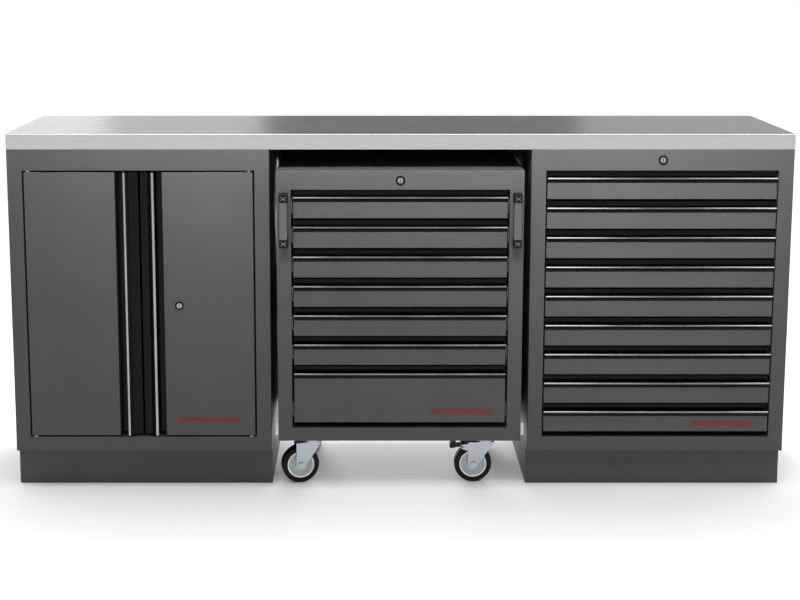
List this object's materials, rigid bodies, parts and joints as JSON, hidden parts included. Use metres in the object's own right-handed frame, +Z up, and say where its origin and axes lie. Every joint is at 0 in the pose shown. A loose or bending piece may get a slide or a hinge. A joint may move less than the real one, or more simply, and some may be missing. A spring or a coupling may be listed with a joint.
{
  "type": "workbench with drawers",
  "caption": "Workbench with a steel-skinned worktop over a two-door cabinet, a rolling drawer trolley and a drawer cabinet on recessed plinths.",
  "frame": {"origin": "on the floor, under the middle of the bench's box", "axes": "+X to the right along the length, -Y towards the user, +Z up"},
  "size_m": [2.04, 0.514, 0.95],
  "materials": {
    "worktop_steel": "brushed, bright front edge",
    "worktop_board": "raw board",
    "cabinet_paint": "satin powder coat",
    "front_paint": "satin powder coat",
    "trolley_paint": "satin powder coat",
    "pull_black": "gloss black",
    "zinc_steel": "bright zinc",
    "lock_metal": "nickel",
    "handle_metal": "satin bar, dark end caps",
    "wheel_rubber": "black tyre, grey disc",
    "pedal_plastic": "matt black"
  },
  "bodies": {
    "bench": {"worktop_skin": "worktop_steel", "worktop_core": "worktop_board", "left_cabinet_body": "cabinet_paint", "right_cabinet_body": "cabinet_paint", "plinths": "cabinet_paint", "rear_rail": "cabinet_paint", "shelf": "cabinet_paint", "right_drawer_runners": "zinc_steel", "door_hinges": "zinc_steel"},
    "left_door": {"left_door": "front_paint", "left_door_pull": "pull_black"},
    "right_door": {"right_door": "front_paint", "right_door_pull": "pull_black"},
    "door_lock": {"door_lock": "lock_metal"},
    "right_cabinet_lock": {"right_cabinet_lock": "lock_metal"},
    "trolley": {"trolley_body": "trolley_paint", "trolley_drawer_runners": "zinc_steel", "trolley_side_handles": "handle_metal", "front_caster_plates": "zinc_steel", "rear_caster_forks": "zinc_steel"},
    "trolley_lock": {"trolley_lock": "lock_metal"},
    "front_left_caster": {"front_left_fork": "zinc_steel"},
    "front_right_caster": {"front_right_fork": "zinc_steel"},
    "front_left_wheel": {"front_left_wheel": "wheel_rubber"},
    "front_right_wheel": {"front_right_wheel": "wheel_rubber"},
    "front_right_brake": {"front_right_brake": "pedal_plastic"},
    "rear_left_wheel": {"rear_left_wheel": "wheel_rubber"},
    "rear_right_wheel": {"rear_right_wheel": "wheel_rubber"},
    "right_drawer_1": {"right_drawer_1": "front_paint", "right_drawer_pull_1": "pull_black"},
    "right_drawer_2": {"right_drawer_2": "front_paint", "right_drawer_pull_2": "pull_black"},
    "right_drawer_3": {"right_drawer_3": "front_paint", "right_drawer_pull_3": "pull_black"},
    "right_drawer_4": {"right_drawer_4": "front_paint", "right_drawer_pull_4": "pull_black"},
    "right_drawer_5": {"right_drawer_5": "front_paint", "right_drawer_pull_5": "pull_black"},
    "right_drawer_6": {"right_drawer_6": "front_paint", "right_drawer_pull_6": "pull_black"},
    "right_drawer_7": {"right_drawer_7": "front_paint", "right_drawer_pull_7": "pull_black"},
    "right_drawer_8": {"right_drawer_8": "front_paint", "right_drawer_pull_8": "pull_black"},
    "right_drawer_9": {"right_drawer_9": "front_paint", "right_drawer_pull_9": "pull_black"},
    "trolley_drawer_1": {"trolley_drawer_1": "trolley_paint", "trolley_drawer_pull_1": "pull_black"},
    "trolley_drawer_2": {"trolley_drawer_2": "trolley_paint", "trolley_drawer_pull_2": "pull_black"},
    "trolley_drawer_3": {"trolley_drawer_3": "trolley_paint", "trolley_drawer_pull_3": "pull_black"},
    "trolley_drawer_4": {"trolley_drawer_4": "trolley_paint", "trolley_drawer_pull_4": "pull_black"},
    "trolley_drawer_5": {"trolley_drawer_5": "trolley_paint", "trolley_drawer_pull_5": "pull_black"},
    "trolley_drawer_6": {"trolley_drawer_6": "trolley_paint", "trolley_drawer_pull_6": "pull_black"},
    "trolley_drawer_7": {"trolley_drawer_7": "trolley_paint", "trolley_drawer_pull_7": "pull_black"}
  },
  "joints": [
    {"name": "left_door_hinge", "type": "hinge", "parent": "bench", "child": "left_door", "pos_m": [-0.967, -0.195, 0.4965], "axis": [0, 0, 1], "range_deg": [-95, 0]},
    {"name": "right_door_hinge", "type": "hinge", "parent": "bench", "child": "right_door", "pos_m": [-0.393, -0.195, 0.4965], "axis": [0, 0, 1], "range_deg": [0, 95]},
    {"name": "door_lock_turn", "type": "hinge", "parent": "right_door", "child": "door_lock", "pos_m": [-0.579, -0.203, 0.4965], "axis": [0, 1, 0], "range_deg": [0, 90]},
    {"name": "trolley_roll_out", "type": "slide", "parent": "bench", "child": "trolley", "axis": [0, -1, 0], "range_m": [0, 0.7]},
    {"name": "trolley_lock_turn", "type": "hinge", "parent": "trolley", "child": "trolley_lock", "pos_m": [0, -0.223, 0.8318], "axis": [0, 1, 0], "range_deg": [0, 90]},
    {"name": "right_cabinet_lock_turn", "type": "hinge", "parent": "bench", "child": "right_cabinet_lock", "pos_m": [0.68, -0.203, 0.882], "axis": [0, 1, 0], "range_deg": [0, 90]},
    {"name": "front_left_swivel", "type": "hinge", "parent": "trolley", "child": "front_left_caster", "pos_m": [-0.2335, -0.148, 0.12], "axis": [0, 0, 1], "continuous": true},
    {"name": "front_left_wheel_spin", "type": "hinge", "parent": "front_left_caster", "child": "front_left_wheel", "pos_m": [-0.26676, -0.15507, 0.05], "axis": [0.2079, -0.9781, 0], "continuous": true},
    {"name": "front_right_swivel", "type": "hinge", "parent": "trolley", "child": "front_right_caster", "pos_m": [0.2335, -0.148, 0.12], "axis": [0, 0, 1], "continuous": true},
    {"name": "front_right_wheel_spin", "type": "hinge", "parent": "front_right_caster", "child": "front_right_wheel", "pos_m": [0.1995, -0.148, 0.05], "axis": [0, -1, 0], "continuous": true},
    {"name": "front_right_brake_press", "type": "hinge", "parent": "front_right_caster", "child": "front_right_brake", "pos_m": [0.1695, -0.148, 0.099], "axis": [0, -1, 0], "range_deg": [0, 10]},
    {"name": "rear_left_wheel_spin", "type": "hinge", "parent": "trolley", "child": "rear_left_wheel", "pos_m": [-0.2335, 0.142, 0.05], "axis": [1, 0, 0], "continuous": true},
    {"name": "rear_right_wheel_spin", "type": "hinge", "parent": "trolley", "child": "rear_right_wheel", "pos_m": [0.2335, 0.142, 0.05], "axis": [1, 0, 0], "continuous": true},
    {"name": "trolley_drawer_1_slide", "type": "slide", "parent": "trolley", "child": "trolley_drawer_1", "axis": [0, -1, 0], "range_m": [0, 0.3]},
    {"name": "trolley_drawer_2_slide", "type": "slide", "parent": "trolley", "child": "trolley_drawer_2", "axis": [0, -1, 0], "range_m": [0, 0.3]},
    {"name": "trolley_drawer_3_slide", "type": "slide", "parent": "trolley", "child": "trolley_drawer_3", "axis": [0, -1, 0], "range_m": [0, 0.3]},
    {"name": "trolley_drawer_4_slide", "type": "slide", "parent": "trolley", "child": "trolley_drawer_4", "axis": [0, -1, 0], "range_m": [0, 0.3]},
    {"name": "trolley_drawer_5_slide", "type": "slide", "parent": "trolley", "child": "trolley_drawer_5", "axis": [0, -1, 0], "range_m": [0, 0.3]},
    {"name": "trolley_drawer_6_slide", "type": "slide", "parent": "trolley", "child": "trolley_drawer_6", "axis": [0, -1, 0], "range_m": [0, 0.3]},
    {"name": "trolley_drawer_7_slide", "type": "slide", "parent": "trolley", "child": "trolley_drawer_7", "axis": [0, -1, 0], "range_m": [0, 0.3]},
    {"name": "right_drawer_1_slide", "type": "slide", "parent": "bench", "child": "right_drawer_1", "axis": [0, -1, 0], "range_m": [0, 0.3]},
    {"name": "right_drawer_2_slide", "type": "slide", "parent": "bench", "child": "right_drawer_2", "axis": [0, -1, 0], "range_m": [0, 0.3]},
    {"name": "right_drawer_3_slide", "type": "slide", "parent": "bench", "child": "right_drawer_3", "axis": [0, -1, 0], "range_m": [0, 0.3]},
    {"name": "right_drawer_4_slide", "type": "slide", "parent": "bench", "child": "right_drawer_4", "axis": [0, -1, 0], "range_m": [0, 0.3]},
    {"name": "right_drawer_5_slide", "type": "slide", "parent": "bench", "child": "right_drawer_5", "axis": [0, -1, 0], "range_m": [0, 0.3]},
    {"name": "right_drawer_6_slide", "type": "slide", "parent": "bench", "child": "right_drawer_6", "axis": [0, -1, 0], "range_m": [0, 0.3]},
    {"name": "right_drawer_7_slide", "type": "slide", "parent": "bench", "child": "right_drawer_7", "axis": [0, -1, 0], "range_m": [0, 0.3]},
    {"name": "right_drawer_8_slide", "type": "slide", "parent": "bench", "child": "right_drawer_8", "axis": [0, -1, 0], "range_m": [0, 0.3]},
    {"name": "right_drawer_9_slide", "type": "slide", "parent": "bench", "child": "right_drawer_9", "axis": [0, -1, 0], "range_m": [0, 0.3]}
  ],
  "couplings": [
    {"joint": "rear_left_wheel_spin", "follows": "trolley_roll_out", "rad_per_m": 20},
    {"joint": "rear_right_wheel_spin", "follows": "trolley_roll_out", "rad_per_m": 20}
  ]
}
